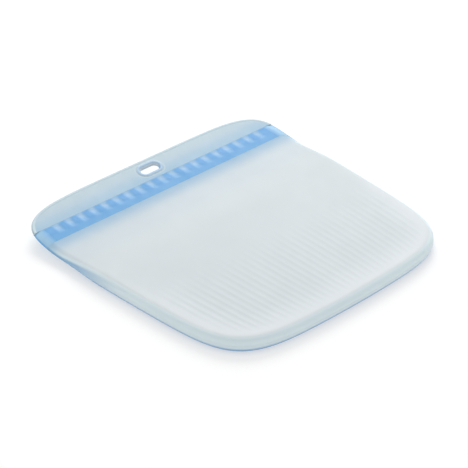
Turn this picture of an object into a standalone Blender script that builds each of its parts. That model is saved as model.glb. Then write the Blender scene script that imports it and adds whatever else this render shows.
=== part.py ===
"""A flat reusable silicone storage bag, closed and lying on its back wall.

Two shallow silicone shells make the pocket. Across the mouth run two blue seal strips: the front one holds
a press channel and the rear one the press rib that fills it, and both carry a row of grip teeth. A blue stop
joins the strips at each end. Beyond them two clear pull lips are pierced by one hanging slot with a raised rim.

Units are metres. X runs across the mouth, +Y points out of the mouth and +Z points up. The origin is on the
flat underside, below the middle of the bag's box.
"""

import math

import bmesh
import bpy

MM = 0.001

# Plan of the bag
BAG_LENGTH = 235.4 * MM  # closed end to the pull lips' free edge
BAG_WIDTH = 245.4 * MM  # at the seal strips
LIP_LENGTH = 21.6 * MM
STRIP_WIDTH = 16.5 * MM
SIDE_TAPER = 26.6 * MM  # how far each side's curve has come in at the closed end
SIDE_POWER = 0.33
FOOT_ROUNDING = 106.1 * MM  # length of the closed end's rounding
FOOT_SIDE_EXPONENT = 6.4
FOOT_END_EXPONENT = 6.0
FOOT_BOW = 4.6 * MM
LIP_ROUNDING = 44.6 * MM  # length of the pull lips' rounding
LIP_SIDE_EXPONENT = 6.1
LIP_END_EXPONENT = 3.8

# Thickness
BODY_HALF_THICKNESS = 6.0 * MM
STRIP_HALF_THICKNESS = 2.2 * MM
LIP_THICKNESS = 1.3 * MM
WALL = 1.5 * MM
SHOULDER = 7.0 * MM  # how far in from the edge the rounding reaches
SHOULDER_EXPONENT = 2.4
THINNING_LENGTH = 60.0 * MM  # the pocket thins over this length beside the seam
RISE_LENGTH = 56.0 * MM  # the mouth end curves up over this length
MOUTH_RISE = 8.5 * MM
RISE_POWER = 1.5

# Seal
TOOTH_PITCH = 11.3 * MM
TOOTH_SHARE = 0.55  # of the pitch
TOOTH_HEIGHT = 0.45 * MM
TOOTH_FLANK = 0.6 * MM
RAIL_WIDTH = 5.5 * MM  # the plain rail along the pocket side of the strip
STOP_LENGTH = 10.5 * MM
RIB_WIDTH = 2.0 * MM
RIB_HEIGHT = 0.8 * MM  # above the front strip's mating face
RIB_CLEARANCE = 0.3 * MM

# Hanging slot
SLOT_LENGTH = 17.0 * MM
SLOT_WIDTH = 7.0 * MM
RIM_WIDTH = 3.6 * MM
RIM_HEIGHT = 0.7 * MM  # above the lip
LIP_WEB = 2.9 * MM  # lip left between the rim's opening and the seal strip

GAP = 0.3 * MM  # between neighbouring pieces
EDGE_RINGS = (0.0, 0.05, 0.16, 0.36, 0.64, 1.0)  # shares of the shoulder
SIDE_CELLS = 20
END_CELLS = 18  # on each side of the middle
LIP_CELLS = 20
LIP_ROWS = 4
STOP_ROWS = 4
RIM_SEGMENTS = 32
OUTLINE_SAMPLES = 400
WELD = 0.0001 * MM

TIP_Y = BAG_LENGTH / 2
FOOT_Y = -BAG_LENGTH / 2
LIP_Y = TIP_Y - LIP_LENGTH
STRIP_END_Y = LIP_Y - GAP
STRIP_Y = STRIP_END_Y - STRIP_WIDTH
STRIP_MIDDLE_Y = (STRIP_Y + STRIP_END_Y) / 2
SEAM_Y = STRIP_Y - GAP  # where the walls end
LIP_ROUNDING_Y = TIP_Y - LIP_ROUNDING
FOOT_ROUNDING_Y = FOOT_Y + FOOT_ROUNDING
RIM_OPENING = SLOT_WIDTH / 2 + RIM_WIDTH + GAP
SLOT_Y = LIP_Y + LIP_WEB + RIM_OPENING
FRONT, BACK = 1, -1

CLEAR = ("silicone_clear", (0.80, 0.86, 0.89, 1.0), 0.5)
LIP_CLEAR = ("silicone_lip", (0.72, 0.82, 0.88, 1.0), 0.5)
BLUE = ("silicone_blue", (0.20, 0.46, 0.84, 1.0), 0.5)
PALE_BLUE = ("silicone_pale_blue", (0.45, 0.68, 0.92, 1.0), 0.5)


def smooth(t):
    """0 to 1 with level ends."""
    t = min(max(t, 0.0), 1.0)
    return t * t * (3 - 2 * t)


def mid_height(y):
    """Height of the parting surface between the front and the back."""
    share = max(y - TIP_Y + RISE_LENGTH, 0.0) / RISE_LENGTH
    return BODY_HALF_THICKNESS + MOUTH_RISE * share**RISE_POWER


def half_thickness(y):
    """Half the pocket's thickness away from its edges."""
    thinned = smooth((y - SEAM_Y) / THINNING_LENGTH + 1)
    return BODY_HALF_THICKNESS - thinned * (BODY_HALF_THICKNESS - STRIP_HALF_THICKNESS)


def shoulder(share):
    """Height share of the rounded edge at a share of the shoulder's width."""
    return (1 - (1 - share) ** SHOULDER_EXPONENT) ** (1 / SHOULDER_EXPONENT)


def side_x(y):
    """Half width of the bag before its two ends are rounded."""
    share = min(max(y - FOOT_Y, 0.0) / (LIP_ROUNDING_Y - FOOT_Y), 1.0)
    return BAG_WIDTH / 2 - SIDE_TAPER * (1 - share**SIDE_POWER)


def foot_point(angle):
    """Right half of the closed end: angle 0 is on the side and pi/2 at the middle."""
    along = math.sin(angle) ** (2 / FOOT_END_EXPONENT)
    across = max(math.cos(angle), 0.0) ** (2 / FOOT_SIDE_EXPONENT)
    y = FOOT_ROUNDING_Y - FOOT_ROUNDING * along + FOOT_BOW * along * across**2
    return side_x(y) * across, y


def lip_point(angle):
    """Right half of the lips' free edge: angle 0 is on the side and pi/2 at the middle."""
    y = LIP_ROUNDING_Y + LIP_ROUNDING * math.sin(angle) ** (2 / LIP_END_EXPONENT)
    return BAG_WIDTH / 2 * max(math.cos(angle), 0.0) ** (2 / LIP_SIDE_EXPONENT), y


def spread(points, count):
    """count + 1 points at even distances along a line of points."""
    lengths = [0.0]
    for p, q in zip(points, points[1:]):
        lengths.append(lengths[-1] + math.dist(p, q))
    placed, k = [], 0
    for i in range(count + 1):
        want = lengths[-1] * i / count
        while k < len(points) - 2 and lengths[k + 1] < want:
            k += 1
        part = (want - lengths[k]) / max(lengths[k + 1] - lengths[k], WELD)
        placed.append(tuple(a + part * (b - a) for a, b in zip(points[k], points[k + 1])))
    return placed


def quarter(point_at, side_exponent, end_exponent):
    """Points of a rounded end from its side to its middle: even along its side, then even across its end."""
    side_share, end_share = 0.5 ** (1 / end_exponent), 0.5 ** (1 / side_exponent)
    steps = [i / OUTLINE_SAMPLES for i in range(OUTLINE_SAMPLES + 1)]
    turns = [math.asin((t * side_share) ** (end_exponent / 2)) for t in steps]
    turns += [math.acos(((1 - t) * end_share) ** (side_exponent / 2)) for t in steps[1:]]
    return [point_at(turn) for turn in turns]


def pocket_edge():
    """Outline from the seam's left end round the closed end to its right end, and its corners' places."""
    rounded = quarter(foot_point, FOOT_SIDE_EXPONENT, FOOT_END_EXPONENT)
    corner = max(range(len(rounded)), key=lambda i: rounded[i][0] - rounded[i][1])
    heights = [SEAM_Y + (FOOT_ROUNDING_Y - SEAM_Y) * i / SIDE_CELLS for i in range(SIDE_CELLS)]
    side = spread([(side_x(y), y) for y in heights] + rounded[: corner + 1], SIDE_CELLS)
    end = spread(rounded[corner:], END_CELLS)
    right = side + end[1:]
    left = [(-x, y) for x, y in right]
    return left + right[-2::-1]


def inset(edge, distance):
    """The outline moved inwards. Its two ends stay on the seam's line."""
    moved = []
    for i, (x, y) in enumerate(edge):
        (x0, y0), (x1, y1) = edge[max(i - 1, 0)], edge[min(i + 1, len(edge) - 1)]
        run = math.hypot(x1 - x0, y1 - y0)
        moved.append((x - distance * (y1 - y0) / run, y + distance * (x1 - x0) / run))
    moved[0] = (edge[0][0] + distance, edge[0][1])
    moved[-1] = (edge[-1][0] - distance, edge[-1][1])
    return moved


def fill(edge):
    """Rows of points across the area inside an open outline, from the closed end to the seam."""
    left = edge[: SIDE_CELLS + 1][::-1]
    end = edge[SIDE_CELLS : len(edge) - SIDE_CELLS]
    right = edge[len(edge) - SIDE_CELLS - 1 :]
    rows = []
    for i in range(SIDE_CELLS + 1):
        v = i / SIDE_CELLS
        row = []
        for j in range(len(end)):
            u = j / (len(end) - 1)
            top = [a + u * (b - a) for a, b in zip(left[-1], right[-1])]
            flat = [
                (1 - u) * (1 - v) * a + u * (1 - v) * b + (1 - u) * v * c + u * v * d
                for a, b, c, d in zip(end[0], end[-1], left[-1], right[-1])
            ]
            row.append(
                tuple(
                    (1 - v) * e + v * t + (1 - u) * p + u * q - f
                    for e, t, p, q, f in zip(end[j], top, left[i], right[i], flat)
                )
            )
        rows.append(row)
    return rows


def make_object(name, grids, finish):
    """One closed solid from grids of points that share their edges. Open ends of a swept piece are capped."""
    bm = bmesh.new()
    for grid in grids:
        rows = [[bm.verts.new(p) for p in row] for row in grid]
        for low, high in zip(rows, rows[1:]):
            for a, b, c, d in zip(low, low[1:], high[1:], high):
                bm.faces.new((a, b, c, d))
    bmesh.ops.remove_doubles(bm, verts=bm.verts, dist=WELD)
    bmesh.ops.dissolve_degenerate(bm, edges=bm.edges, dist=WELD)
    open_ends = [e for e in bm.edges if e.is_boundary]
    if open_ends:
        bmesh.ops.holes_fill(bm, edges=open_ends, sides=0)
    bmesh.ops.triangulate(bm, faces=bm.faces)
    bmesh.ops.recalc_face_normals(bm, faces=bm.faces)
    if bm.calc_volume(signed=True) < 0:
        bmesh.ops.reverse_faces(bm, faces=bm.faces)
    mesh = bpy.data.meshes.new(name)
    bm.to_mesh(mesh)
    bm.free()
    mesh.shade_smooth()
    mesh.set_sharp_from_angle(angle=math.radians(35))
    obj = bpy.data.objects.new(name, mesh)
    bpy.context.scene.collection.objects.link(obj)
    mesh.materials.append(silicone(*finish))
    return obj


def silicone(name, colour, roughness):
    """A plain material of that name, made once."""
    material = bpy.data.materials.get(name)
    if material is None:
        material = bpy.data.materials.new(name)
        material.use_nodes = True
        shader = material.node_tree.nodes["Principled BSDF"]
        shader.inputs["Base Color"].default_value = colour
        shader.inputs["Roughness"].default_value = roughness
        shader.inputs["Metallic"].default_value = 0.0
        material.diffuse_color = colour
    return material


def lift(point, side, height):
    """A plan point at a height from the parting surface, on the front's or the back's side."""
    x, y = point
    return x, y, mid_height(y) + side * (GAP / 2 + height)


def pocket_skin(edge, side, start, rounding, removed):
    """The rings of the rounded edge and the area inside them, for the outer or the inner face of a shell."""

    def place(point, share):
        depth = half_thickness(point[1]) - GAP / 2 - removed
        return lift(point, side, depth * shoulder(share))

    rings = [inset(edge, start + share * rounding) for share in EDGE_RINGS]
    border = [[place(p, share) for p in ring] for ring, share in zip(rings, EDGE_RINGS)]
    inside = [[place(p, 1.0) for p in row] for row in fill(rings[-1])]
    return border, inside


def mouth_line(border, inside):
    """The skin's edge along the seam, from its left end to its right end."""
    return [ring[0] for ring in border] + inside[-1][1:-1] + [ring[-1] for ring in border[::-1]]


def make_wall(name, side):
    """A shallow shell with a rounded edge, open at the seam and at the parting surface."""
    edge = pocket_edge()
    outer = pocket_skin(edge, side, 0.0, SHOULDER, 0.0)
    inner = pocket_skin(edge, side, WALL, SHOULDER - WALL, WALL)
    rim = [outer[0][0], inner[0][0]]
    mouth = [mouth_line(*outer), mouth_line(*inner)]
    return make_object(name, [*outer, *inner, rim, mouth], CLEAR)


def strip_section(side, x, raised, with_rib):
    """One closed section of a seal strip at x: its mating face, then its outside with or without a tooth."""
    crown = STRIP_HALF_THICKNESS - GAP / 2
    tooth = crown if raised else crown - TOOTH_HEIGHT
    half = RIB_WIDTH / 2
    rib_top = GAP / 2 + RIB_HEIGHT
    if not with_rib:
        half += RIB_CLEARANCE
        rib_top += RIB_CLEARANCE
    rib_z = mid_height(STRIP_MIDDLE_Y) + rib_top
    face = [
        lift((x, STRIP_Y), side, 0.0),
        lift((x, STRIP_MIDDLE_Y - half), side, 0.0),
        (x, STRIP_MIDDLE_Y - half, rib_z),
        (x, STRIP_MIDDLE_Y + half, rib_z),
        lift((x, STRIP_MIDDLE_Y + half), side, 0.0),
        lift((x, STRIP_END_Y), side, 0.0),
    ]
    teeth_y = STRIP_Y + RAIL_WIDTH
    outside = [(STRIP_END_Y, tooth), (teeth_y + TOOTH_FLANK, tooth), (teeth_y, crown), (STRIP_Y, crown)]
    return face + [lift((x, y), side, height) for y, height in outside]


def make_strip(name, side, with_rib):
    """A seal strip: a rail, a row of grip teeth, and on its mating face the rib or the channel."""
    end = side_x(STRIP_Y) - STOP_LENGTH - GAP
    gaps = int(2 * end / TOOTH_PITCH)
    stations = [(-end, True)]
    for i in range(gaps):
        middle = (i - (gaps - 1) / 2) * TOOTH_PITCH
        half = TOOTH_PITCH * (1 - TOOTH_SHARE) / 2
        flank = half - TOOTH_FLANK
        stations += [(middle + d, abs(d) == half) for d in (-half, -flank, flank, half)]
    stations.append((end, True))
    sections = [strip_section(side, x, raised, with_rib) for x, raised in stations]
    return make_object(name, [[section + section[:1] for section in sections]], BLUE)


def make_stop(name, end):
    """The plain end of the seal, which joins the two strips and carries the bag's rounded side edge."""
    shares = [0.0, *EDGE_RINGS[1:-1]]
    loops = []
    inner = side_x(STRIP_Y) - STOP_LENGTH
    depth = STRIP_HALF_THICKNESS
    for y in [STRIP_Y + STRIP_WIDTH * i / STOP_ROWS for i in range(STOP_ROWS + 1)]:
        outside = lip_side_x(y)
        loop = []
        for side in (FRONT, BACK):
            arc = [(outside - s * (outside - inner), depth * shoulder(s)) for s in shares] + [(inner, depth)]
            points = [(end * x, y, mid_height(y) + side * h) for x, h in arc]
            loop += points if side == FRONT else points[:0:-1]
        loops.append(loop + loop[:1])
    return make_object(name, [loops], PALE_BLUE)


def lip_side_x(y):
    """Half width of the bag beside the strips, where the lips' rounding has begun."""
    if y <= LIP_ROUNDING_Y:
        return side_x(y)
    share = (y - LIP_ROUNDING_Y) / LIP_ROUNDING
    angle = math.asin(min(share ** (LIP_END_EXPONENT / 2), 1.0))
    return lip_point(angle)[0]


def make_lip(name, side):
    """A thin pull lip with a rounded free edge and an oval opening for the slot's rim."""
    rounded = quarter(lip_point, LIP_SIDE_EXPONENT, LIP_END_EXPONENT)
    rounded = [point for point in rounded if point[1] > LIP_Y]
    right = spread([(lip_side_x(LIP_Y), LIP_Y), *rounded], LIP_CELLS)
    free_edge = [(-x, y) for x, y in right] + right[-2::-1]
    count = len(free_edge) - 1
    base = [(-lip_side_x(LIP_Y) * (1 - 2 * j / count), LIP_Y) for j in range(count + 1)]
    flat = []
    for i in range(LIP_ROWS + 1):
        v = i / LIP_ROWS
        flat.append([(a[0] + v * (b[0] - a[0]), a[1] + v * (b[1] - a[1])) for a, b in zip(base, free_edge)])
    low = [[lift(p, side, 0.0) for p in row] for row in flat]
    high = [[lift(p, side, LIP_THICKNESS) for p in row] for row in flat]
    walls = [[low[0], high[0]], [low[-1], high[-1]]]
    walls += [[[row[k] for row in low], [row[k] for row in high]] for k in (0, -1)]
    obj = make_object(name, [low, high, *walls], LIP_CLEAR)
    cutter = oval_cutter(name + "_cutter", SLOT_LENGTH / 2 + RIM_WIDTH + GAP, RIM_OPENING)
    cut = obj.modifiers.new("rim_opening", "BOOLEAN")
    cut.operation = "DIFFERENCE"
    cut.solver = "EXACT"
    cut.object = cutter
    return obj


def oval(half_length, half_width):
    """Points round an oval with straight sides and round ends, about the slot's middle."""
    reach = half_length - half_width
    points = []
    for i in range(RIM_SEGMENTS):
        angle = 2 * math.pi * (i + 0.5) / RIM_SEGMENTS
        shift = math.copysign(reach, math.cos(angle))
        points.append((shift + half_width * math.cos(angle), SLOT_Y + half_width * math.sin(angle)))
    return points


def oval_cutter(name, half_length, half_width):
    """An upright prism on the slot's oval, used only to cut."""
    ring = oval(half_length, half_width)
    ring.append(ring[0])
    top = mid_height(TIP_Y) + BODY_HALF_THICKNESS
    obj = make_object(name, [[[(x, y, z) for x, y in ring] for z in (0.0, top)]], LIP_CLEAR)
    obj.hide_render = True
    obj.display_type = "WIRE"
    return obj


def make_rim(name, side):
    """The raised oval rim round the hanging slot."""
    crown = LIP_THICKNESS + RIM_HEIGHT
    bevel = RIM_WIDTH / 4
    section = [
        (0.0, 0.0),
        (RIM_WIDTH, 0.0),
        (RIM_WIDTH, crown - RIM_HEIGHT / 2),
        (RIM_WIDTH - bevel, crown),
        (bevel, crown),
        (0.0, crown - RIM_HEIGHT / 2),
    ]
    loops = []
    for offset, height in section + section[:1]:
        ring = oval(SLOT_LENGTH / 2 + offset, SLOT_WIDTH / 2 + offset)
        loops.append([lift(p, side, height) for p in ring + ring[:1]])
    return make_object(name, [loops], PALE_BLUE)


def clear_scene():
    for obj in list(bpy.data.objects):
        bpy.data.objects.remove(obj, do_unlink=True)


def main():
    clear_scene()
    make_wall("front_wall", FRONT)
    make_wall("back_wall", BACK)
    make_strip("front_seal_strip", FRONT, with_rib=False)
    make_strip("rear_seal_strip", BACK, with_rib=True)
    make_stop("left_end_stop", -1)
    make_stop("right_end_stop", 1)
    make_lip("front_lip", FRONT)
    make_lip("rear_lip", BACK)
    make_rim("front_slot_rim", FRONT)
    make_rim("rear_slot_rim", BACK)


main()
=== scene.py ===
"""The looks of a flat reusable silicone bag, built round its packed frame.

Two frosted walls make the pocket. A blue toothed seal crosses the mouth, and two clear pull lips with one
rimmed hanging slot lie beyond it. Places come from the frame. The curves that the outline follows and the
finer shapes, such as the ribs on the front wall, are properties that can be changed in the sidebar.
Units are metres. X runs across the mouth, +Y points out of the mouth and +Z points up.
"""

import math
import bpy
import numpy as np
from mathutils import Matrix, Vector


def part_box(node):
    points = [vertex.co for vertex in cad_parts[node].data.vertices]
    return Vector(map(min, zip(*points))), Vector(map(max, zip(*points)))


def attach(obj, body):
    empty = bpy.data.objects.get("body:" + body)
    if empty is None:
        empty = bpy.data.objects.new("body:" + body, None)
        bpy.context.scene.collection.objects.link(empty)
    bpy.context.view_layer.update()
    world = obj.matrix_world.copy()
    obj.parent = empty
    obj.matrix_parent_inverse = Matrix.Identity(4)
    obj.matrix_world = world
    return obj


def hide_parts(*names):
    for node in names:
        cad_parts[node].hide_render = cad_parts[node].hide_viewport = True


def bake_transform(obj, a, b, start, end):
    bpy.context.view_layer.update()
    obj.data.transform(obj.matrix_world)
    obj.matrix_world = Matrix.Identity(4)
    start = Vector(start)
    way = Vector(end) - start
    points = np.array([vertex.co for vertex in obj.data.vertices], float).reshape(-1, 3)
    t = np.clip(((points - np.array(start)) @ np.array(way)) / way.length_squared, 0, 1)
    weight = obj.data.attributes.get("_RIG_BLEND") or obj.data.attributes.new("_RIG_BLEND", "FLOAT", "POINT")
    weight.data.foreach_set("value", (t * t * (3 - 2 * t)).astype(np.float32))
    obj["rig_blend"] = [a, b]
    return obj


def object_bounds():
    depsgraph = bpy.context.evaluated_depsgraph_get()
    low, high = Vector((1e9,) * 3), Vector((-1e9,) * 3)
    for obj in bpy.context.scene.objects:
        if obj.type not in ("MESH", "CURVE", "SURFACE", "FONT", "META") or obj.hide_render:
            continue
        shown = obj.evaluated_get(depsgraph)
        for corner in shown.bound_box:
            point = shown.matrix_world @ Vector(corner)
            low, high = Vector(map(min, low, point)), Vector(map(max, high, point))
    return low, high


bl_info = {
    "name": "Silicone Storage Bag",
    "version": (1, 0, 0),
    "blender": (4, 5, 0),
    "location": "View3D > Sidebar > Silicone Bag",
    "description": "Builds a frosted silicone bag with a toothed press seal, pull lips and a plain studio",
    "category": "Object",
}

import bmesh
import bpy
import numpy as np
from bpy.props import FloatProperty, FloatVectorProperty, PointerProperty
from mathutils import Quaternion, Vector

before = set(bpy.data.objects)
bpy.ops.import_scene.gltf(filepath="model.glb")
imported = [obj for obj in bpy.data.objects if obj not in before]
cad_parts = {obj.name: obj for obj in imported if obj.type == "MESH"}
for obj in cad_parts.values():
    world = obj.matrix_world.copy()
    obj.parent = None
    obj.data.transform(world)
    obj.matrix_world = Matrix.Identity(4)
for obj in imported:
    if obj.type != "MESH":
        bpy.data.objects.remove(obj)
CAD_LOW, CAD_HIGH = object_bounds()

MM = 0.001
FRONT, BACK = 1, -1

WALL_LOW, WALL_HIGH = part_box("front_wall")
STRIP_LOW, STRIP_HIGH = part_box("front_seal_strip")
LIP_LOW, LIP_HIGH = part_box("front_lip")
STOP_LOW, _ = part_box("right_end_stop")
RIM_LOW, RIM_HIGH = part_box("front_slot_rim")
CAD_GAP = STOP_LOW.x - STRIP_HIGH.x

FOOT_Y, TIP_Y = CAD_LOW.y, CAD_HIGH.y
SEAM_Y = (WALL_HIGH.y + STRIP_LOW.y) / 2
LIP_Y = (STRIP_HIGH.y + LIP_LOW.y) / 2
STOP_X = (STRIP_HIGH.x + STOP_LOW.x) / 2
SLOT_Y = (RIM_LOW.y + RIM_HIGH.y) / 2
BODY_HALF = WALL_LOW.z - CAD_GAP / 2
LIP_THICKNESS = LIP_LOW.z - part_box("rear_lip")[0].z - CAD_GAP
MOUTH_RISE = LIP_HIGH.z - CAD_GAP / 2 - LIP_THICKNESS - BODY_HALF
JOIN = 0.012 * MM  # half of the fine line left between neighbouring pieces
WELD = 0.001 * MM
OUTLINE_SAMPLES = 500
WHITE = (1.0, 1.0, 1.0, 1.0)

# How finely the pieces are meshed, and the angles from which their edges stay sharp.
FRONT_CELLS = {"end_cells": 160, "side_cells": 110, "rows": 110}
BACK_CELLS = {"end_cells": 80, "side_cells": 80, "rows": 60}
MARK_CELLS = 40
SHOULDER_STEPS = 11
CELLS_PER_TOOTH = 20
SEAL_ROWS = 30
STOP_ROWS = 24
STOP_STEPS = 15
STOP_CROWDING = 1.6
LIP_CELLS = 170
LIP_ROWS = 44
LIP_CROWDING = 1.8
RIM_SEGMENTS = 128
CUTTER_SEGMENTS = 96
RIM_STEPS = 15
RIM_FULLNESS = 0.8
SHARP_ANGLE = math.radians(50.0)
LIP_SHARP_ANGLE = math.radians(40.0)

# Small details of the moulding.
LIP_ROUND_OFF = 1.3 * MM
BEAD_FLANK = 0.8 * MM
GROOVE_REACH = 0.5 * MM
GRAIN_HEIGHT = 0.02 * MM

# Stretch from the closed end over which the front comes free of the back.
FOOT_BEND = 60.0 * MM

# Floor, light and camera.
FLOOR_REACH = 4.0
FLOOR_DROP = 0.1 * MM
SOFTBOX_PLACE = (1.15, 1.15, 1.3)
SOFTBOX_SIZE = 1.4
SKY_FADE = 0.5  # rise of a direction over which the light changes from the horizon's to the sky's
SENSOR_WIDTH = 36.0
VIEW_DEPTH = 50.0


def length(name, description, millimetres, low=0.0, high=1000.0):
    """A length property whose default is given in millimetres."""
    return FloatProperty(
        name=name,
        description=description,
        default=millimetres * MM,
        min=low * MM,
        max=high * MM,
        precision=5,
        unit="LENGTH",
    )


def ratio(name, description, value, low=0.0, high=1.0):
    """A plain number property."""
    return FloatProperty(name=name, description=description, default=value, min=low, max=high)


def in_degrees(name, description, degrees):
    """An angle property whose default is given in degrees."""
    return FloatProperty(name=name, description=description, default=math.radians(degrees), unit="ROTATION")


def colour(name, description, red, green, blue):
    """A colour property in linear light."""
    return FloatVectorProperty(
        name=name,
        description=description,
        default=(red, green, blue, 1.0),
        subtype="COLOR",
        size=4,
        min=0.0,
        max=1.0,
    )


class BagOutline(bpy.types.PropertyGroup):
    """Curves of the bag's plan and of its edges."""

    width: length("Width", "Width of the bag at the seal", 245.4)
    side_taper: length("Side taper", "How far each side's curve comes in at the closed end", 26.6)
    side_power: ratio("Side power", "How late along the bag the sides come in", 0.33, 0.1, 3.0)
    foot_rounding: length("Closed end rounding", "Length of the closed end's rounding", 106.1)
    foot_side_exponent: ratio("Closed end side", "Squareness of the closed end's sides", 6.4, 2.0, 20.0)
    foot_end_exponent: ratio("Closed end edge", "Squareness of the closed end's edge", 6.0, 1.0, 20.0)
    foot_bow: length("Closed end bow", "How far the closed end bows out", 4.6)
    lip_rounding: length("Lip rounding", "Length of the pull lips' rounding", 44.6)
    lip_side_exponent: ratio("Lip side", "Squareness of the lips' sides", 6.1, 2.0, 20.0)
    lip_end_exponent: ratio("Lip edge", "Squareness of the lips' free edge", 3.8, 1.0, 20.0)
    wall: length("Wall", "Thickness of the pocket's walls", 1.5, 0.3, 3.0)
    shoulder: length("Shoulder", "Width of the rounding along the pocket's edge", 7.0, 3.0, 30.0)
    shoulder_exponent: ratio("Shoulder squareness", "How square the pocket's edge is", 2.7, 1.0, 6.0)
    mouth_exponent: ratio("Mouth squareness", "How square the side edges are beside the seal", 1.25, 1.0, 6.0)
    seam_half: length("Seal half thickness", "Half the thickness of the closed seal", 2.2, 1.5, 6.0)
    thinning: length("Thinning", "Length beside the seal over which the pocket thins", 60.0)
    rise_length: length("Rise length", "Length over which the mouth's end curves up", 56.0)
    rise_power: ratio("Rise power", "How late the mouth's end curves up", 1.5, 1.0, 4.0)


class WallRibs(bpy.types.PropertyGroup):
    """Low ribs along the front wall."""

    count: ratio("Ribs", "Number of ribs across half of the bag", 19.5, 4.0, 40.0)
    height: length("Rib height", "Height of a rib above the valley beside it", 0.2, 0.0, 2.0)
    start: length("Rib start", "Distance of the ribs' first end from the seal", 92.0)
    start_fade: length("Start fade", "Length over which the ribs grow out of the wall", 46.0)
    margin: length("Rib margin", "Plain margin between the pocket's edge and the ribs", 7.0)
    margin_fade: length("Margin fade", "Length over which the ribs end beside the margin", 12.0)


class SealShape(bpy.types.PropertyGroup):
    """Rail, teeth, press rib and channel of the seal strips."""

    rail: length("Rail", "Width of the plain rail beside the pocket", 5.2)
    pitch: length("Tooth pitch", "Distance from one grip tooth to the next", 11.3, 4.0, 40.0)
    share: ratio("Tooth share", "Share of the pitch that a tooth fills", 0.56, 0.2, 0.8)
    flank: length("Tooth flank", "Width of a tooth's sloping flank", 4.0, 0.3, 5.0)
    depth: length("Tooth depth", "Depth of the gaps between the teeth", 0.4, 0.0, 1.5)
    fall: length("Outer slope", "Width of the slope down to the lip", 9.0)
    rib_width: length("Press rib width", "Width of the press rib", 2.0)
    rib_height: length("Press rib height", "Height of the press rib above the mating face", 0.8)
    clearance: length("Channel clearance", "Room round the press rib in its channel", 0.3)


class LipShape(bpy.types.PropertyGroup):
    """Bead along the lips' edge, and the rim of the hanging slot."""

    bead_width: length("Bead width", "Width of the thicker bead along the free edge", 2.4)
    bead_height: length("Bead height", "Height of the bead above the lip", 0.18, 0.0, 1.0)
    groove: length("Groove depth", "Depth of the fine groove beside the bead", 0.05, 0.0, 1.0)
    slot_length: length("Slot length", "Length of the hanging slot", 17.0, 8.0, 40.0)
    slot_width: length("Slot width", "Width of the hanging slot", 7.0, 3.0, 14.0)
    rim_width: length("Rim width", "Width of the slot's raised rim", 3.6, 1.0, 6.0)
    rim_height: length("Rim height", "Height of the rim above the lip", 0.5, 0.0, 2.0)


class SiliconeLook(bpy.types.PropertyGroup):
    """Colours of the frosted and the blue silicone."""

    wall: colour("Wall", "Frosted wall", 0.55, 0.60, 0.62)
    margin: colour("Wall margin", "Frosted wall beside its rounded edge", 0.62, 0.665, 0.69)
    side: colour("Side edge", "Rounded edge, seen through its depth", 0.66, 0.77, 0.81)
    # Painted highlight: a lighter line along the crest where the rounded edge turns into the wall.
    crest: colour("Crest", "Lighter line where the edge turns into the wall", 0.70, 0.73, 0.745)
    # Deep blue of the thick silicone in the lower edge, darkened by painted shade where the edge lies on the
    # floor.
    base: colour("Lower edge", "Rounded edge next to the surface that it lies on", 0.13, 0.29, 0.50)
    lip: colour("Lip", "Clear pull lips", 0.44, 0.545, 0.61)
    lip_edge: colour("Lip edge", "Bead along the free edge", 0.49, 0.60, 0.65)
    # Painted shade along the lips' very edge, where the surface turns away.
    outline: colour("Outline", "The lips' very edge", 0.40, 0.51, 0.56)
    rail: colour("Seal", "Blue of the seal's rail and teeth", 0.085, 0.31, 0.605)
    tooth: colour("Grip teeth", "Deeper blue of the grip teeth", 0.055, 0.27, 0.58)
    gap: colour("Seal gaps", "Blue between the seal's teeth", 0.17, 0.385, 0.64)
    glow: colour("Blue glow", "Blue that shines from the seal into the clear silicone", 0.20, 0.40, 0.59)
    deep: colour("Deep blue", "Blue along the seal's outer ends", 0.10, 0.32, 0.64)
    stop: colour("Seal ends", "Paler blue of the plain ends", 0.31, 0.52, 0.70)
    rim: colour("Slot rim", "Pale blue of the slot's rim", 0.36, 0.51, 0.66)
    # Blue inside the slot on the seal's side: partly the silicone's tint, partly painted shade.
    rim_inside_tint_and_shade: colour("Slot rim inside", "Blue inside the slot, on the seal's side", 0.18, 0.40, 0.72)
    rim_far: colour("Slot rim far side", "Inside of the slot on the free edge's side", 0.60, 0.66, 0.70)
    valley: colour("Rib valleys", "Tone in the valleys between the front wall's ribs", 0.60, 0.66, 0.70)


class StudioLook(bpy.types.PropertyGroup):
    """Camera, floor and light."""

    azimuth: in_degrees("Azimuth", "Camera's bearing", -42.96)
    elevation: in_degrees("Elevation", "Camera's height above the floor's plane", 33.52)
    roll: in_degrees("Roll", "Camera's roll", 0.34)
    distance: length("Distance", "Camera's distance from its target", 1291.8, 100.0, 10000.0)
    lens: ratio("Lens", "Focal length in millimetres", 132.8, 10.0, 500.0)
    target_x: length("Target X", "Point that the camera looks at", -0.51, -500.0, 500.0)
    target_y: length("Target Y", "Point that the camera looks at", 9.27, -500.0, 500.0)
    floor: colour("Floor", "Plain floor", 0.50, 0.50, 0.50)
    floor_glow: ratio("Floor glow", "The floor's own even white light, which softens shadows", 0.49, 0.0, 2.0)
    sky: ratio("Surrounding light", "Strength of the white light from above", 0.72, 0.0, 10.0)
    horizon: ratio("Horizon light", "Strength of the white light level with the floor", 1.05, 0.0, 10.0)
    key: FloatProperty(
        name="Softbox", description="Power of the softbox behind the bag", default=28.0, min=0.0, unit="POWER"
    )


# Shape of the bag. Points are numpy arrays, and heights are measured from the parting surface.


def smooth(t):
    """0 to 1 with level ends."""
    t = np.clip(t, 0.0, 1.0)
    return t * t * (3 - 2 * t)


def mid_height(plan, y):
    """Height of the parting surface between the front and the back."""
    share = np.maximum(y - TIP_Y + plan.rise_length, 0.0) / plan.rise_length
    return BODY_HALF + MOUTH_RISE * share**plan.rise_power


def thinned(plan, y):
    """0 in the full pocket and 1 at the seal."""
    return smooth((y - SEAM_Y) / plan.thinning + 1)


def half_thickness(plan, y):
    """Half the pocket's thickness away from its edges."""
    return BODY_HALF - thinned(plan, y) * (BODY_HALF - plan.seam_half)


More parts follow.
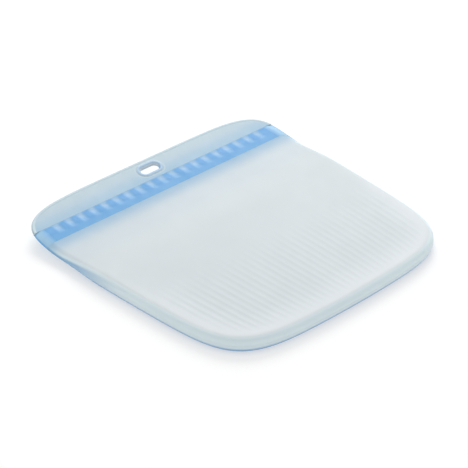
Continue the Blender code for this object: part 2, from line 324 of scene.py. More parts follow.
def shoulder_share(plan, share, y):
    """Height share of the rounded edge at a share of the shoulder's width, sharper towards the seal."""
    power = plan.shoulder_exponent - thinned(plan, y) * (plan.shoulder_exponent - plan.mouth_exponent)
    return (1 - (1 - np.clip(share, 0.0, 1.0)) ** power) ** (1 / power)


def side_x(plan, y):
    """Half width of the bag before its two ends are rounded."""
    full = TIP_Y - plan.lip_rounding - FOOT_Y
    share = np.clip((y - FOOT_Y) / full, 0.0, 1.0)
    return plan.width / 2 - plan.side_taper * (1 - share**plan.side_power)


def foot_point(plan, angle):
    """Right half of the closed end: angle 0 is on the side and pi/2 at the middle."""
    along = np.sin(angle) ** (2 / plan.foot_end_exponent)
    across = np.maximum(np.cos(angle), 0.0) ** (2 / plan.foot_side_exponent)
    y = FOOT_Y + plan.foot_rounding * (1 - along) + plan.foot_bow * along * across**2
    return np.stack([side_x(plan, y) * across, y], axis=-1)


def lip_point(plan, angle):
    """Right half of the lips' free edge: angle 0 is on the side and pi/2 at the middle."""
    y = TIP_Y - plan.lip_rounding * (1 - np.sin(angle) ** (2 / plan.lip_end_exponent))
    x = plan.width / 2 * np.maximum(np.cos(angle), 0.0) ** (2 / plan.lip_side_exponent)
    return np.stack([x, y], axis=-1)


def mouth_side_x(plan, y):
    """Half width of the bag beside the seal, where the lips' rounding has begun."""
    share = np.clip((y - TIP_Y) / plan.lip_rounding + 1, 0.0, 1.0)
    rounded = lip_point(plan, np.arcsin(share ** (plan.lip_end_exponent / 2)))[..., 0]
    return np.where(share > 0, rounded, side_x(plan, y))


def quarter(plan, point_at, side_exponent, end_exponent):
    """Points of a rounded end: even along its side, then even across its end."""
    side_part, end_part = 0.5 ** (1 / end_exponent), 0.5 ** (1 / side_exponent)
    steps = np.linspace(0.0, 1.0, OUTLINE_SAMPLES)
    turns = np.arcsin((steps * side_part) ** (end_exponent / 2))
    more = np.arccos(((1 - steps[1:]) * end_part) ** (side_exponent / 2))
    return point_at(plan, np.concatenate([turns, more]))


def spread(points, count):
    """count + 1 points at even distances along a line of points."""
    walked = np.concatenate([[0.0], np.cumsum(np.linalg.norm(np.diff(points, axis=0), axis=1))])
    want = np.linspace(0.0, walked[-1], count + 1)
    return np.stack([np.interp(want, walked, points[:, k]) for k in range(points.shape[1])], axis=-1)


def mirrored(right):
    """A line from the right side to the middle, with its mirror image put before it."""
    left = right * np.array([-1.0, 1.0])
    return np.concatenate([left, right[-2::-1]])


def pocket_edge(plan, side_cells, end_cells):
    """Outline from the seam's left end round the closed end to its right end."""
    rounded = quarter(plan, foot_point, plan.foot_side_exponent, plan.foot_end_exponent)
    corner = int(np.argmax(rounded[:, 0] - rounded[:, 1]))
    straight = np.linspace(SEAM_Y - JOIN, FOOT_Y + plan.foot_rounding, OUTLINE_SAMPLES, endpoint=False)
    side = np.stack([side_x(plan, straight), straight], axis=-1)
    side = spread(np.concatenate([side, rounded[: corner + 1]]), side_cells)
    end = spread(rounded[corner:], end_cells)
    return mirrored(np.concatenate([side, end[1:]]))


def lip_edge(plan, cells):
    """Free edge of the lips from their left base corner to the right one."""
    rounded = quarter(plan, lip_point, plan.lip_side_exponent, plan.lip_end_exponent)
    base_y = LIP_Y + JOIN
    corner = np.array([[mouth_side_x(plan, base_y), base_y]])
    right = spread(np.concatenate([corner, rounded[rounded[:, 1] > base_y]]), cells)
    return mirrored(right)


def inset(edge, distance):
    """The outline moved inwards. Its two ends stay on the seam's line."""
    run = np.gradient(edge, axis=0)
    run /= np.linalg.norm(run, axis=1)[:, None]
    moved = edge + distance * np.stack([-run[:, 1], run[:, 0]], axis=-1)
    moved[0] = edge[0] + [distance, 0.0]
    moved[-1] = edge[-1] - [distance, 0.0]
    return moved


def fill(edge, side_cells, rows):
    """Rows of points across the area inside an open outline, from the closed end to the seam."""
    left, right = edge[: side_cells + 1][::-1], edge[len(edge) - side_cells - 1 :]
    end = edge[side_cells : len(edge) - side_cells]
    u = np.linspace(0.0, 1.0, len(end))[None, :, None]
    v = np.linspace(0.0, 1.0, rows + 1)[:, None, None]
    places = np.linspace(0, side_cells, rows + 1)
    left, right = (
        np.stack([np.interp(places, np.arange(side_cells + 1), line[:, k]) for k in (0, 1)], axis=-1)
        for line in (left, right)
    )
    top = left[-1] + u * (right[-1] - left[-1])
    corners = (1 - u) * (1 - v) * end[0] + u * (1 - v) * end[-1] + (1 - u) * v * left[-1] + u * v * right[-1]
    return (1 - v) * end[None] + v * top + (1 - u) * left[:, None] + u * right[:, None] - corners


def edge_distance(points, edge):
    """Distance of plan points to an outline's nearest stretch."""
    nearest = np.full(len(points), np.inf)
    for a, b in zip(edge, edge[1:]):
        run = b - a
        share = np.clip((points - a) @ run / (run @ run), 0.0, 1.0)
        nearest = np.minimum(nearest, np.linalg.norm(points - a - share[:, None] * run, axis=1))
    return nearest


def lift(plan, points, side, height):
    """Plan points at a height from the parting surface, on the front's or the back's side."""
    z = mid_height(plan, points[..., 1]) + side * (JOIN + height)
    return np.concatenate([points, np.broadcast_to(z, points.shape[:-1])[..., None]], axis=-1)


# Meshes


def make_object(name, grids, material):
    """One closed mesh from grids of points that share their edges. Open ends of a swept piece are capped."""
    points = np.concatenate([grid.reshape(-1, 3) for grid in grids])
    keys, index = np.unique(np.round(points / WELD).astype(np.int64), axis=0, return_inverse=True)
    placed = np.zeros((len(keys), 3))
    placed[index.ravel()] = points
    faces, first = [], 0
    for grid in grids:
        ids = index.ravel()[first : first + grid.shape[0] * grid.shape[1]].reshape(grid.shape[:2])
        first += ids.size
        cells = [ids[:-1, :-1], ids[:-1, 1:], ids[1:, 1:], ids[1:, :-1]]
        faces.append(np.stack(cells, axis=-1).reshape(-1, 4))
    bm = bmesh.new()
    verts = [bm.verts.new(p) for p in placed]
    made = set()
    for face in np.concatenate(faces).tolist():
        corners = list(dict.fromkeys(face))
        key = frozenset(corners)
        if len(corners) > 2 and key not in made:
            made.add(key)
            bm.faces.new([verts[i] for i in corners])
    bmesh.ops.delete(bm, geom=[v for v in bm.verts if not v.link_faces], context="VERTS")
    open_ends = [e for e in bm.edges if e.is_boundary]
    if open_ends:
        bmesh.ops.holes_fill(bm, edges=open_ends, sides=0)
    bmesh.ops.recalc_face_normals(bm, faces=bm.faces)
    if bm.calc_volume(signed=True) < 0:
        bmesh.ops.reverse_faces(bm, faces=bm.faces)
    mesh = bpy.data.meshes.new(name)
    bm.to_mesh(mesh)
    bm.free()
    mesh.shade_smooth()
    mesh.set_sharp_from_angle(angle=SHARP_ANGLE)
    obj = bpy.data.objects.new(name, mesh)
    bpy.context.scene.collection.objects.link(obj)
    mesh.materials.append(material)
    return obj


def vertices(obj):
    """A mesh's points as an array."""
    values = np.empty(len(obj.data.vertices) * 3)
    obj.data.vertices.foreach_get("co", values)
    return values.reshape(-1, 3)


def mark(obj, name, values):
    """Stores one number for each point of a mesh, for its material."""
    attribute = obj.data.attributes.new(name, "FLOAT", "POINT")
    attribute.data.foreach_set("value", np.asarray(values, np.float32))


def mark_places(plan, obj, edge):
    """Stores each point's distance to the outline and to the seal, and its share of the height."""
    points = vertices(obj)
    height = points[:, 2] - mid_height(plan, points[:, 1])
    mark(obj, "edge_mm", edge_distance(points[:, :2], edge) / MM)
    mark(obj, "seam_mm", (SEAM_Y - points[:, 1]) / MM)
    mark(obj, "lip_mm", (points[:, 1] - LIP_Y) / MM)
    mark(obj, "height", height / half_thickness(plan, points[:, 1]))


def frosted_wall(plan, ribs, name, side, material, end_cells, side_cells, rows):
    """A shallow shell with a rounded edge, open at the seam and at the parting surface."""
    edge = pocket_edge(plan, side_cells, end_cells)
    shares = np.linspace(0.0, 1.0, SHOULDER_STEPS) ** 2

    def skin(start, removed, ribbed):
        """One face of the wall: rings round its rounded edge, and the area inside them."""
        rounding = plan.shoulder - start
        rings = [inset(edge, start + share * rounding) for share in shares]
        inner = fill(rings[-1], side_cells, rows)
        border = []
        for ring, share in zip(rings, shares):
            depth = half_thickness(plan, ring[:, 1]) - JOIN - removed
            border.append(lift(plan, ring, side, depth * shoulder_share(plan, share, ring[:, 1])))
        border = np.stack(border)
        height = half_thickness(plan, inner[..., 1]) - JOIN - removed
        if ribbed:
            height = height + ribs.height / 2 * rib_wave(plan, ribs, inner, edge)
        return border, lift(plan, inner, side, height)

    outer = skin(0.0, 0.0, side == FRONT)
    inner = skin(plan.wall, plan.wall, False)
    rim = np.stack([outer[0][0], inner[0][0]])
    mouths = [np.concatenate([s[0][:, 0], s[1][-1, 1:-1], s[0][::-1, -1]]) for s in (outer, inner)]
    obj = make_object(name, [*outer, *inner, rim, np.stack(mouths)], material)
    coarse = pocket_edge(plan, MARK_CELLS, MARK_CELLS)
    mark_places(plan, obj, coarse)
    flat = vertices(obj)[:, :2]
    mark(obj, "rib", rib_wave(plan, ribs, flat, coarse) if side == FRONT else np.zeros(len(flat)))
    return obj


def rib_wave(plan, ribs, points, edge):
    """1 on the crest of a rib and -1 in a valley. The ribs run along the bag and spread with its width."""
    flat = points.reshape(-1, 2)
    from_edge = edge_distance(flat, edge).reshape(points.shape[:-1])
    x, y = points[..., 0], points[..., 1]
    wave = np.cos(2 * math.pi * ribs.count * x / side_x(plan, y))
    grown = smooth((SEAM_Y - ribs.start - y) / ribs.start_fade)
    kept = smooth((from_edge - ribs.margin) / ribs.margin_fade)
    return wave * grown * kept


def tooth_mask(seal, x):
    """1 on a grip tooth and 0 in the gap beside it."""
    place = np.abs((x / seal.pitch + 0.5) % 1.0 - 0.5) * seal.pitch
    edge = seal.pitch * (1 - seal.share) / 2
    end = smooth((np.abs(x) - (STOP_X - seal.pitch / 2)) / (seal.pitch / 4))
    return np.maximum(smooth((place - edge) / seal.flank + 0.5), end)


def strip_crown(plan, seal, y):
    """Height of the seal's outside, which slopes down to the lip."""
    fallen = smooth((y - LIP_Y) / seal.fall + 1)
    return plan.seam_half - JOIN - fallen * (plan.seam_half - LIP_THICKNESS)


def seal_strip(plan, seal, name, side, material):
    """A seal strip: a rail, a row of grip teeth, and on its mating face the press rib or its channel."""
    end = STOP_X - JOIN
    x = np.linspace(-end, end, int(2 * end / seal.pitch * CELLS_PER_TOOTH) + 1)
    low, high = SEAM_Y + JOIN, LIP_Y - JOIN
    middle = (low + high) / 2
    half, top = seal.rib_width / 2, seal.rib_height
    if side == FRONT:
        half, top = half + seal.clearance, top + seal.clearance
    rib_top = mid_height(plan, middle) + top
    near, far = middle - half, middle + half
    foot = {y: mid_height(plan, y) + side * JOIN for y in (low, near, far)}
    face = [(low, foot[low]), (near, foot[near]), (near, rib_top), (far, rib_top), (far, foot[far])]
    face = np.array([[[at, y, z] for y, z in face] for at in x])
    y = np.linspace(high, low, SEAL_ROWS)
    grid = np.stack(np.meshgrid(x, y, indexing="ij"), axis=-1)
    toothed = tooth_mask(seal, grid[..., 0])
    beyond = smooth((grid[..., 1] - low - seal.rail) / seal.flank)
    beyond = beyond * smooth((high - grid[..., 1]) / seal.flank)
    height = strip_crown(plan, seal, grid[..., 1]) - seal.depth * beyond * (1 - toothed)
    outside = lift(plan, grid, side, height)
    edge_line = lift(plan, grid[:, :1], side, 0.0)
    loop = np.concatenate([face, edge_line, outside], axis=1)
    loop = np.concatenate([loop, loop[:, :1]], axis=1)
    obj = make_object(name, [loop], material)
    points = vertices(obj)
    beyond = smooth((points[:, 1] - low - seal.rail) / (2 * seal.flank) + 0.25)
    toothed = tooth_mask(seal, points[:, 0])
    mark(obj, "gap", beyond * (1 - toothed))
    mark(obj, "tooth", beyond * toothed)
    mark(obj, "lip_mm", (points[:, 1] - LIP_Y) / MM)
    return obj


def end_stop(plan, seal, name, end, material):
    """The plain end of the seal, which joins the two strips and carries the bag's rounded side edge."""
    shares = np.linspace(0.0, 1.0, STOP_STEPS) ** STOP_CROWDING
    loops = []
    for y in np.linspace(SEAM_Y + JOIN, LIP_Y - JOIN, STOP_ROWS):
        outside, inner = float(mouth_side_x(plan, y)), STOP_X + JOIN
        depth = strip_crown(plan, seal, y) + JOIN
        x = np.maximum(outside - shares * plan.shoulder, inner)
        height = depth * shoulder_share(plan, (outside - x) / plan.shoulder, y)
        x, height = np.append(x, inner), np.append(height, depth)
        z = float(mid_height(plan, y))
        top = np.stack([end * x, np.full(len(x), y), z + height], axis=-1)
        low = np.stack([end * x, np.full(len(x), y), z - height], axis=-1)[:0:-1]
        loop = np.concatenate([top, low])
        loops.append(np.concatenate([loop, loop[:1]]))
    obj = make_object(name, [np.stack(loops)], material)
    points = vertices(obj)
    mark(obj, "lip_mm", (points[:, 1] - LIP_Y) / MM)
    mark(obj, "edge_mm", (mouth_side_x(plan, points[:, 1]) - np.abs(points[:, 0])) / MM)
    return obj


def bead_height(lip, from_edge):
    """Height of the lip's outside over its thickness: a bead along the edge and a fine groove beside it."""
    bead = lip.bead_height * (1 - smooth((from_edge - lip.bead_width) / BEAD_FLANK + 0.5))
    groove = lip.groove * np.exp(-(((from_edge - lip.bead_width - BEAD_FLANK) / GROOVE_REACH) ** 2))
    return bead - groove


def pull_lip(plan, lip, name, side, material):
    """A thin pull lip with a beaded free edge and an oval opening for the slot's rim."""
    edge = lip_edge(plan, LIP_CELLS)
    base_x = np.linspace(edge[0, 0], edge[-1, 0], len(edge))
    base = np.stack([base_x, np.full(len(edge), edge[0, 1])], axis=-1)
    v = 1 - (1 - np.linspace(0.0, 1.0, LIP_ROWS)[:, None, None]) ** LIP_CROWDING
    flat = base + v * (edge - base)
    from_edge = edge_distance(flat.reshape(-1, 2), edge).reshape(flat.shape[:2])
    rolled = np.sqrt(np.clip(1 - (1 - np.clip(from_edge / LIP_ROUND_OFF, 0, 1)) ** 2, 0, 1))
    high = lift(plan, flat, side, (LIP_THICKNESS + bead_height(lip, from_edge)) * rolled)
    low = lift(plan, flat, side, 0.0)
    obj = make_object(name, [low, high, np.stack([low[0], high[0]])], material)
    reach = lip.rim_width + JOIN
    cutter = oval_cutter(name + "_cutter", lip.slot_length / 2 + reach, lip.slot_width / 2 + reach, material)
    cut = obj.modifiers.new("rim_opening", "BOOLEAN")
    cut.operation = "DIFFERENCE"
    cut.solver = "EXACT"
    cut.object = cutter
    apply_modifiers(obj)
    bpy.data.objects.remove(cutter, do_unlink=True)
    obj.data.shade_smooth()
    obj.data.set_sharp_from_angle(angle=LIP_SHARP_ANGLE)
    mark_places(plan, obj, edge)
    points = vertices(obj)
    mark(obj, "rim_mm", (slot_distance(lip, points) - lip.rim_width) / MM)
    return obj


def slot_distance(lip, points):
    """Distance of points from the hanging slot's edge, in plan."""
    beyond = np.maximum(np.abs(points[:, 0]) - (lip.slot_length - lip.slot_width) / 2, 0.0)
    return np.hypot(beyond, points[:, 1] - SLOT_Y) - lip.slot_width / 2


def apply_modifiers(obj):
    """Replaces a mesh with what its modifiers make of it."""
    evaluated = obj.evaluated_get(bpy.context.evaluated_depsgraph_get())
    mesh = bpy.data.meshes.new_from_object(evaluated)
    obj.modifiers.clear()
    obj.data = mesh


def oval(half_length, half_width, segments):
    """A closed line round an oval with straight sides and round ends, about the slot's middle."""
    reach = half_length - half_width
    angle = 2 * math.pi * (np.arange(segments) + 0.5) / segments
    shift = np.copysign(reach, np.cos(angle))
    ring = np.stack([shift + half_width * np.cos(angle), SLOT_Y + half_width * np.sin(angle)], axis=-1)
    return np.concatenate([ring, ring[:1]])


def oval_cutter(name, half_length, half_width, material):
    """An upright prism on the slot's oval, used only to cut."""
    ring = oval(half_length, half_width, CUTTER_SEGMENTS)
    grid = np.stack([np.insert(ring, 2, z, axis=1) for z in (0.0, CAD_HIGH.z + BODY_HALF)])
    return make_object(name, [grid], material)


def slot_rim(plan, lip, name, side, material):
    """The raised, rounded rim round the hanging slot."""
    crown = LIP_THICKNESS + lip.rim_height
    share = np.linspace(0.0, 1.0, RIM_STEPS)
    bulge = np.sin(math.pi * share) ** RIM_FULLNESS
    foot = np.where(share < 0.5, LIP_THICKNESS * 0.5, LIP_THICKNESS)
    outside = [(lip.rim_width * s, f + (crown - f) * b) for s, f, b in zip(share, foot, bulge)]
    section = [(0.0, 0.0), *outside, (lip.rim_width, 0.0)]
    loops = []
    for offset, height in section + section[:1]:
        ring = oval(lip.slot_length / 2 + offset, lip.slot_width / 2 + offset, RIM_SEGMENTS)
        loops.append(lift(plan, ring, side, np.full(len(ring), height)))
    obj = make_object(name, [np.stack(loops)], material)
    points = vertices(obj)
    mark(obj, "ring", slot_distance(lip, points) / lip.rim_width)
    mark(obj, "seal_side", (SLOT_Y - points[:, 1]) / lip.slot_width)
    return obj


# Materials


class Nodes:
    """Short ways to add and join the nodes of one material."""

    def __init__(self, name):
        old = bpy.data.materials.get(name)
        self.material = old or bpy.data.materials.new(name)
        self.fresh = old is None
        if self.fresh:
            self.material.use_nodes = True
            self.tree = self.material.node_tree
            self.shader = self.tree.nodes["Principled BSDF"]

    def add(self, kind, **settings):
        """A new node with its settings."""
        node = self.tree.nodes.new(kind)
        for key, value in settings.items():
            setattr(node, key, value)
        return node

    def put(self, socket, value):
        """Gives a socket a value, or joins another socket to it."""
        if isinstance(value, bpy.types.NodeSocket):
            self.tree.links.new(value, socket)
        else:
            socket.default_value = value

    def stored(self, name):
        """A number stored on the mesh."""
        return self.add("ShaderNodeAttribute", attribute_name=name).outputs["Fac"]

    def ramp(self, value, start, end, low=0.0, high=1.0):
        """Eases from low to high as a value goes from start to end."""
        node = self.add("ShaderNodeMapRange", interpolation_type="SMOOTHSTEP")
        for socket, given in zip(node.inputs, (value, start, end, low, high)):
            self.put(socket, given)
        return node.outputs["Result"]

    def maths(self, operation, first, second):
        """One arithmetic step on two values."""
        node = self.add("ShaderNodeMath", operation=operation)
        self.put(node.inputs[0], first)
        self.put(node.inputs[1], second)
        return node.outputs[0]

    def mix(self, share, first, second, blend="MIX"):
        """One colour laid over another."""
        node = self.add("ShaderNodeMix", data_type="RGBA", blend_type=blend)
        self.put(node.inputs["Factor"], share)
        self.put(node.inputs["A"], first)
        self.put(node.inputs["B"], second)
        return node.outputs["Result"]

    def noise(self, scale, detail=2.0):
        """Noise that stays on the mesh, with about that many grains in a metre."""
        place = self.add("ShaderNodeTexCoord").outputs["Object"]
        node = self.add("ShaderNodeTexNoise")
        self.put(node.inputs["Vector"], place)
        self.put(node.inputs["Scale"], scale)
        self.put(node.inputs["Detail"], detail)
        return node.outputs["Fac"]


def silicone(nodes, tint, roughness, depth_mm):
    """Finishes a material as soft satin silicone with a faint cloudiness and a fine grain."""
    cloud = nodes.ramp(nodes.noise(22.0), 0.3, 0.7, 0.0, 0.06)
    tint = nodes.mix(cloud, tint, WHITE, "SOFT_LIGHT")
    shader = nodes.shader.inputs
    nodes.put(shader["Base Color"], tint)
    patches = nodes.ramp(nodes.noise(90.0), 0.25, 0.75, roughness - 0.03, roughness + 0.04)
    nodes.put(shader["Roughness"], patches)
    shader["IOR"].default_value = 1.41
    shader["Subsurface Weight"].default_value = 0.35
    shader["Subsurface Radius"].default_value = (1.0, 1.0, 1.0)
    shader["Subsurface Scale"].default_value = depth_mm * MM
    bump = nodes.add("ShaderNodeBump")
    nodes.put(bump.inputs["Height"], nodes.noise(1400.0, 3.0))
    bump.inputs["Strength"].default_value = 0.25
    bump.inputs["Distance"].default_value = GRAIN_HEIGHT
    nodes.put(shader["Normal"], bump.outputs["Normal"])
    return nodes.material


def silicone_wall(look):
    """Frosted silicone: lighter beside its edge, with a painted highlight on the edge's crest, deeper in the
    edge, blue with painted shade along its lower edge, and blue near the seal.
    """
    nodes = Nodes("frosted silicone wall")
    if not nodes.fresh:
        return nodes.material
    edge, seam, height = (nodes.stored(n) for n in ("edge_mm", "seam_mm", "height"))
    margin = nodes.maths("MULTIPLY", nodes.ramp(edge, 34.0, 6.0), nodes.ramp(seam, 60.0, 170.0))
    tint = nodes.mix(margin, look.wall, look.margin)
    # Painted highlight along the crest of the rounded edge, fading out towards the seal.
    crest = nodes.maths("MULTIPLY", nodes.ramp(edge, 2.5, 5.5, 0.0, 0.2), nodes.ramp(edge, 14.0, 6.0))
    crest = nodes.maths("MULTIPLY", crest, nodes.ramp(seam, 25.0, 110.0))
    tint = nodes.mix(crest, tint, look.crest)
    tint = nodes.mix(nodes.ramp(nodes.stored("rib"), 0.0, 1.0, 0.0, 0.03), tint, WHITE)
    tint = nodes.mix(nodes.ramp(nodes.stored("rib"), 0.0, -1.0, 0.0, 0.03), tint, look.valley)
    tint = nodes.mix(nodes.ramp(edge, 4.6, 2.0), tint, look.side)
    # Painted shade, tinted with the thick silicone's blue, on the lower part of the rounded edge next to the
    # floor.
    foot = nodes.maths("MULTIPLY", nodes.ramp(height, -0.1, -0.72), nodes.ramp(edge, 8.0, 2.0))
    tint = nodes.mix(foot, tint, look.base)
    near = nodes.ramp(seam, 16.0, -2.0, 0.0, 0.62)
    far = nodes.ramp(seam, 55.0, 0.0, 0.0, 0.16)
    tint = nodes.mix(nodes.maths("ADD", near, far), tint, look.glow)
    side_glow = nodes.maths("MULTIPLY", nodes.ramp(seam, 90.0, 0.0), nodes.ramp(edge, 2.0, 0.4, 0.0, 0.8))
    tint = nodes.mix(side_glow, tint, look.rail)
    return silicone(nodes, tint, 0.6, 2.5)


def silicone_lip(look):
    """Clear silicone: blue near the seal, lighter in the bead along its edge, and painted shade on its very
    edge.
    """
    nodes = Nodes("clear silicone lip")
    if not nodes.fresh:
        return nodes.material
    edge, beyond = nodes.stored("edge_mm"), nodes.stored("lip_mm")
    tint = nodes.mix(nodes.ramp(beyond, 16.0, 0.0, 0.0, 0.55), look.lip, look.glow)
    tint = nodes.mix(nodes.ramp(edge, 3.2, 2.2), tint, look.lip_edge)
    tint = nodes.mix(nodes.ramp(nodes.stored("rim_mm"), 1.6, 0.6, 0.0, 0.6), tint, look.lip_edge)
    # Painted shade on the lips' very edge.
    tint = nodes.mix(nodes.ramp(edge, 0.9, 0.4), tint, look.outline)
    return silicone(nodes, tint, 0.5, 1.5)


def silicone_seal(look):
    """Blue silicone: deep where it is thick, and fading into the lip between the teeth."""
    nodes = Nodes("blue silicone seal")
    if not nodes.fresh:
        return nodes.material
    gap, beyond = nodes.stored("gap"), nodes.stored("lip_mm")
    pale = nodes.mix(nodes.ramp(beyond, -9.0, -2.0, 0.0, 0.35), look.gap, look.lip)
    tint = nodes.mix(nodes.ramp(nodes.stored("tooth"), 0.0, 1.0, 0.0, 0.6), look.rail, look.tooth)
    tint = nodes.mix(gap, tint, pale)
    tint = nodes.mix(nodes.ramp(beyond, -1.4, 0.0, 0.0, 0.7), tint, look.glow)
    return silicone(nodes, tint, 0.5, 1.5)


def silicone_stop(look):
    """Blue silicone that is paler towards the side and deep along its very edge."""
    nodes = Nodes("pale blue silicone end")
    if not nodes.fresh:
        return nodes.material
    tint = nodes.mix(nodes.ramp(nodes.stored("edge_mm"), 11.0, 4.0), look.rail, look.stop)
    tint = nodes.mix(nodes.ramp(nodes.stored("edge_mm"), 1.6, 0.3), tint, look.deep)
    tint = nodes.mix(nodes.ramp(nodes.stored("lip_mm"), -2.0, 0.0, 0.0, 0.5), tint, look.glow)
    return silicone(nodes, tint, 0.5, 1.5)


def silicone_rim(look):
    """Pale blue silicone, deeper blue inside the slot on the seal's side, partly as painted shade."""
    nodes = Nodes("pale blue silicone rim")
    if not nodes.fresh:
        return nodes.material
    # Inside the slot: deeper blue on the seal's side, partly the silicone's tint and partly painted shade.
    inside = nodes.mix(nodes.ramp(nodes.stored("seal_side"), -0.2, 0.4), look.rim_far, look.rim_inside_tint_and_shade)
    tint = nodes.mix(nodes.ramp(nodes.stored("ring"), 0.34, 0.02), look.rim, inside)
    tint = nodes.mix(nodes.ramp(nodes.stored("ring"), 0.7, 1.0), tint, look.lip_edge)
    return silicone(nodes, tint, 0.5, 1.2)


def plain_floor(look):
    """A matt floor with an even light of its own."""
    nodes = Nodes("matt floor")
    if nodes.fresh:
        nodes.put(nodes.shader.inputs["Base Color"], look.floor)
        nodes.shader.inputs["Roughness"].default_value = 0.9
        nodes.shader.inputs["Specular IOR Level"].default_value = 0.0
        nodes.shader.inputs["Emission Color"].default_value = WHITE
        nodes.shader.inputs["Emission Strength"].default_value = look.floor_glow
    return nodes.material


# How the pieces move


def open_with_mouth(obj):
    """The front's pieces lift with the mouth but stay joined along the sides and the closed end."""
    holds = (
        ((-STOP_X, 0, 0), (0, 0, 0)),
        ((STOP_X, 0, 0), (0, 0, 0)),
        ((0, FOOT_Y, 0), (0, FOOT_Y + FOOT_BEND, 0)),
    )
    weights = []
    for start, end in holds:
        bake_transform(obj, "rear", "front", start=start, end=end)
        values = np.empty(len(obj.data.vertices), np.float32)
        obj.data.attributes["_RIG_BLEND"].data.foreach_get("value", values)
        weights.append(values)
    obj.data.attributes["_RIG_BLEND"].data.foreach_set("value", np.min(weights, axis=0))


def bend_with_rear_lip(obj):
    """The rear lip's pieces bend down from a line beside the seal."""
    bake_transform(obj, "rear", "rear_lip", start=(0, LIP_Y - 0.2 * MM, 0), end=(0, LIP_Y + 5 * MM, 0))


def hand_over(obj, node, move):
    """The piece stands for a CAD node, which it hides, and takes its motion."""
    move(obj)
    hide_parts(node)


def stay(obj):
    """The piece stays with the rear."""
    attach(obj, "rear")


# Operators


class BAG_OT_walls(bpy.types.Operator):
    """Build the ribbed front wall and the plain back wall"""

    bl_idname = "bag.walls"
    bl_label = "Walls"

    def execute(self, context):
        scene = context.scene
        plan, ribs = scene.bag_outline, scene.bag_ribs
        material = silicone_wall(scene.bag_look)
        front = frosted_wall(plan, ribs, "frosted_front_wall", FRONT, material, **FRONT_CELLS)
        back = frosted_wall(plan, ribs, "frosted_back_wall", BACK, material, **BACK_CELLS)
        hand_over(front, "front_wall", open_with_mouth)
        hand_over(back, "back_wall", stay)
        return {"FINISHED"}


class BAG_OT_seal(bpy.types.Operator):
    """Build the two toothed seal strips and the stops at their ends"""

    bl_idname = "bag.seal"
    bl_label = "Seal"

    def execute(self, context):
        scene = context.scene
        plan, seal = scene.bag_outline, scene.bag_seal
        blue, pale = silicone_seal(scene.bag_look), silicone_stop(scene.bag_look)
        front = seal_strip(plan, seal, "toothed_front_seal", FRONT, blue)
        rear = seal_strip(plan, seal, "toothed_rear_seal", BACK, blue)
        hand_over(front, "front_seal_strip", open_with_mouth)
        hand_over(rear, "rear_seal_strip", stay)
        for end, word in ((-1, "left"), (1, "right")):
            stop = end_stop(plan, seal, f"seal_end_{word}", end, pale)
            hand_over(stop, f"{word}_end_stop", stay)
        return {"FINISHED"}


class BAG_OT_lips(bpy.types.Operator):
    """Build the two pull lips and the slot's two rims"""

    bl_idname = "bag.lips"
    bl_label = "Pull lips"

    def execute(self, context):
        scene = context.scene
        plan, lip = scene.bag_outline, scene.bag_lip
        clear, pale = silicone_lip(scene.bag_look), silicone_rim(scene.bag_look)
        for side, word, move in ((FRONT, "front", open_with_mouth), (BACK, "rear", bend_with_rear_lip)):
            flap = pull_lip(plan, lip, f"beaded_{word}_lip", side, clear)
            rim = slot_rim(plan, lip, f"rounded_{word}_slot_rim", side, pale)
            hand_over(flap, f"{word}_lip", move)
            hand_over(rim, f"{word}_slot_rim", move)
        return {"FINISHED"}


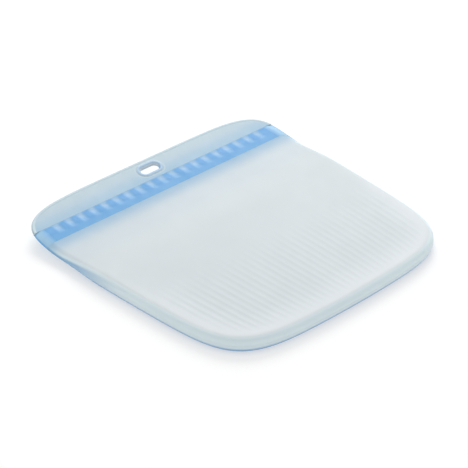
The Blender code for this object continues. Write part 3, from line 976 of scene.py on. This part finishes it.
class BAG_OT_studio(bpy.types.Operator):
    """Set up the floor, the light and the camera"""

    bl_idname = "bag.studio"
    bl_label = "Studio"

    def execute(self, context):
        scene = context.scene
        look = scene.bag_studio
        mesh = bpy.data.meshes.new("floor")
        square = ((-1, -1), (1, -1), (1, 1), (-1, 1))
        corners = [(FLOOR_REACH * x, FLOOR_REACH * y, -FLOOR_DROP) for x, y in square]
        mesh.from_pydata(corners, [], [(0, 1, 2, 3)])
        mesh.materials.append(plain_floor(look))
        floor = bpy.data.objects.new("floor", mesh)
        scene.collection.objects.link(floor)

        lamp = bpy.data.lights.new("softbox", "AREA")
        lamp.shape = "DISK"
        lamp.size = SOFTBOX_SIZE
        lamp.energy = look.key
        softbox = bpy.data.objects.new("softbox", lamp)
        softbox.location = SOFTBOX_PLACE
        softbox.rotation_euler = Vector(SOFTBOX_PLACE).to_track_quat("Z", "Y").to_euler()
        scene.collection.objects.link(softbox)

        world = bpy.data.worlds.new("white surroundings")
        world.use_nodes = True
        tree = world.node_tree
        tree.nodes["Background"].inputs["Color"].default_value = WHITE
        split = tree.nodes.new("ShaderNodeSeparateXYZ")
        tree.links.new(tree.nodes.new("ShaderNodeTexCoord").outputs["Generated"], split.inputs[0])
        fade = tree.nodes.new("ShaderNodeMapRange")
        tree.links.new(split.outputs["Z"], fade.inputs["Value"])
        for name, given in (("From Max", SKY_FADE), ("To Min", look.horizon), ("To Max", look.sky)):
            fade.inputs[name].default_value = given
        tree.links.new(fade.outputs["Result"], tree.nodes["Background"].inputs["Strength"])
        scene.world = world
        scene.view_settings.view_transform = "Standard"

        data = bpy.data.cameras.new("camera")
        data.sensor_width = SENSOR_WIDTH
        data.lens = look.lens
        data.clip_end = VIEW_DEPTH
        camera = bpy.data.objects.new("camera", data)
        level = math.cos(look.elevation)
        east, north = math.sin(look.azimuth) * level, -math.cos(look.azimuth) * level
        back = Vector((east, north, math.sin(look.elevation)))
        camera.location = Vector((look.target_x, look.target_y, 0.0)) + back * look.distance
        turn = Quaternion(back, look.roll) @ back.to_track_quat("Z", "Y")
        camera.rotation_euler = turn.to_euler()
        scene.collection.objects.link(camera)
        scene.camera = camera
        return {"FINISHED"}


class BAG_PT_sidebar(bpy.types.Panel):
    """Lists the bag's properties and its operators"""

    bl_idname = "BAG_PT_sidebar"
    bl_label = "Silicone Bag"
    bl_space_type = "VIEW_3D"
    bl_region_type = "UI"
    bl_category = "Silicone Bag"

    def draw(self, context):
        for operator in OPERATORS:
            self.layout.operator(operator.bl_idname)
        for name, group in GROUPS.items():
            box = self.layout.box()
            box.label(text=group.__doc__)
            for key in group.__annotations__:
                box.prop(getattr(context.scene, name), key)


GROUPS = {
    "bag_outline": BagOutline,
    "bag_ribs": WallRibs,
    "bag_seal": SealShape,
    "bag_lip": LipShape,
    "bag_look": SiliconeLook,
    "bag_studio": StudioLook,
}
OPERATORS = (BAG_OT_walls, BAG_OT_seal, BAG_OT_lips, BAG_OT_studio)


def register():
    """Add the properties, the operators and the panel."""
    for group in GROUPS.values():
        bpy.utils.register_class(group)
    for name, group in GROUPS.items():
        setattr(bpy.types.Scene, name, PointerProperty(type=group))
    for operator in OPERATORS:
        bpy.utils.register_class(operator)
    bpy.utils.register_class(BAG_PT_sidebar)


def unregister():
    """Take everything away again."""
    bpy.utils.unregister_class(BAG_PT_sidebar)
    for operator in reversed(OPERATORS):
        bpy.utils.unregister_class(operator)
    for name, group in GROUPS.items():
        delattr(bpy.types.Scene, name)
        bpy.utils.unregister_class(group)


def main():
    """Build the bag and its studio."""
    register()
    bpy.ops.bag.walls()
    bpy.ops.bag.seal()
    bpy.ops.bag.lips()
    bpy.ops.bag.studio()


if __name__ == "__main__":
    main()
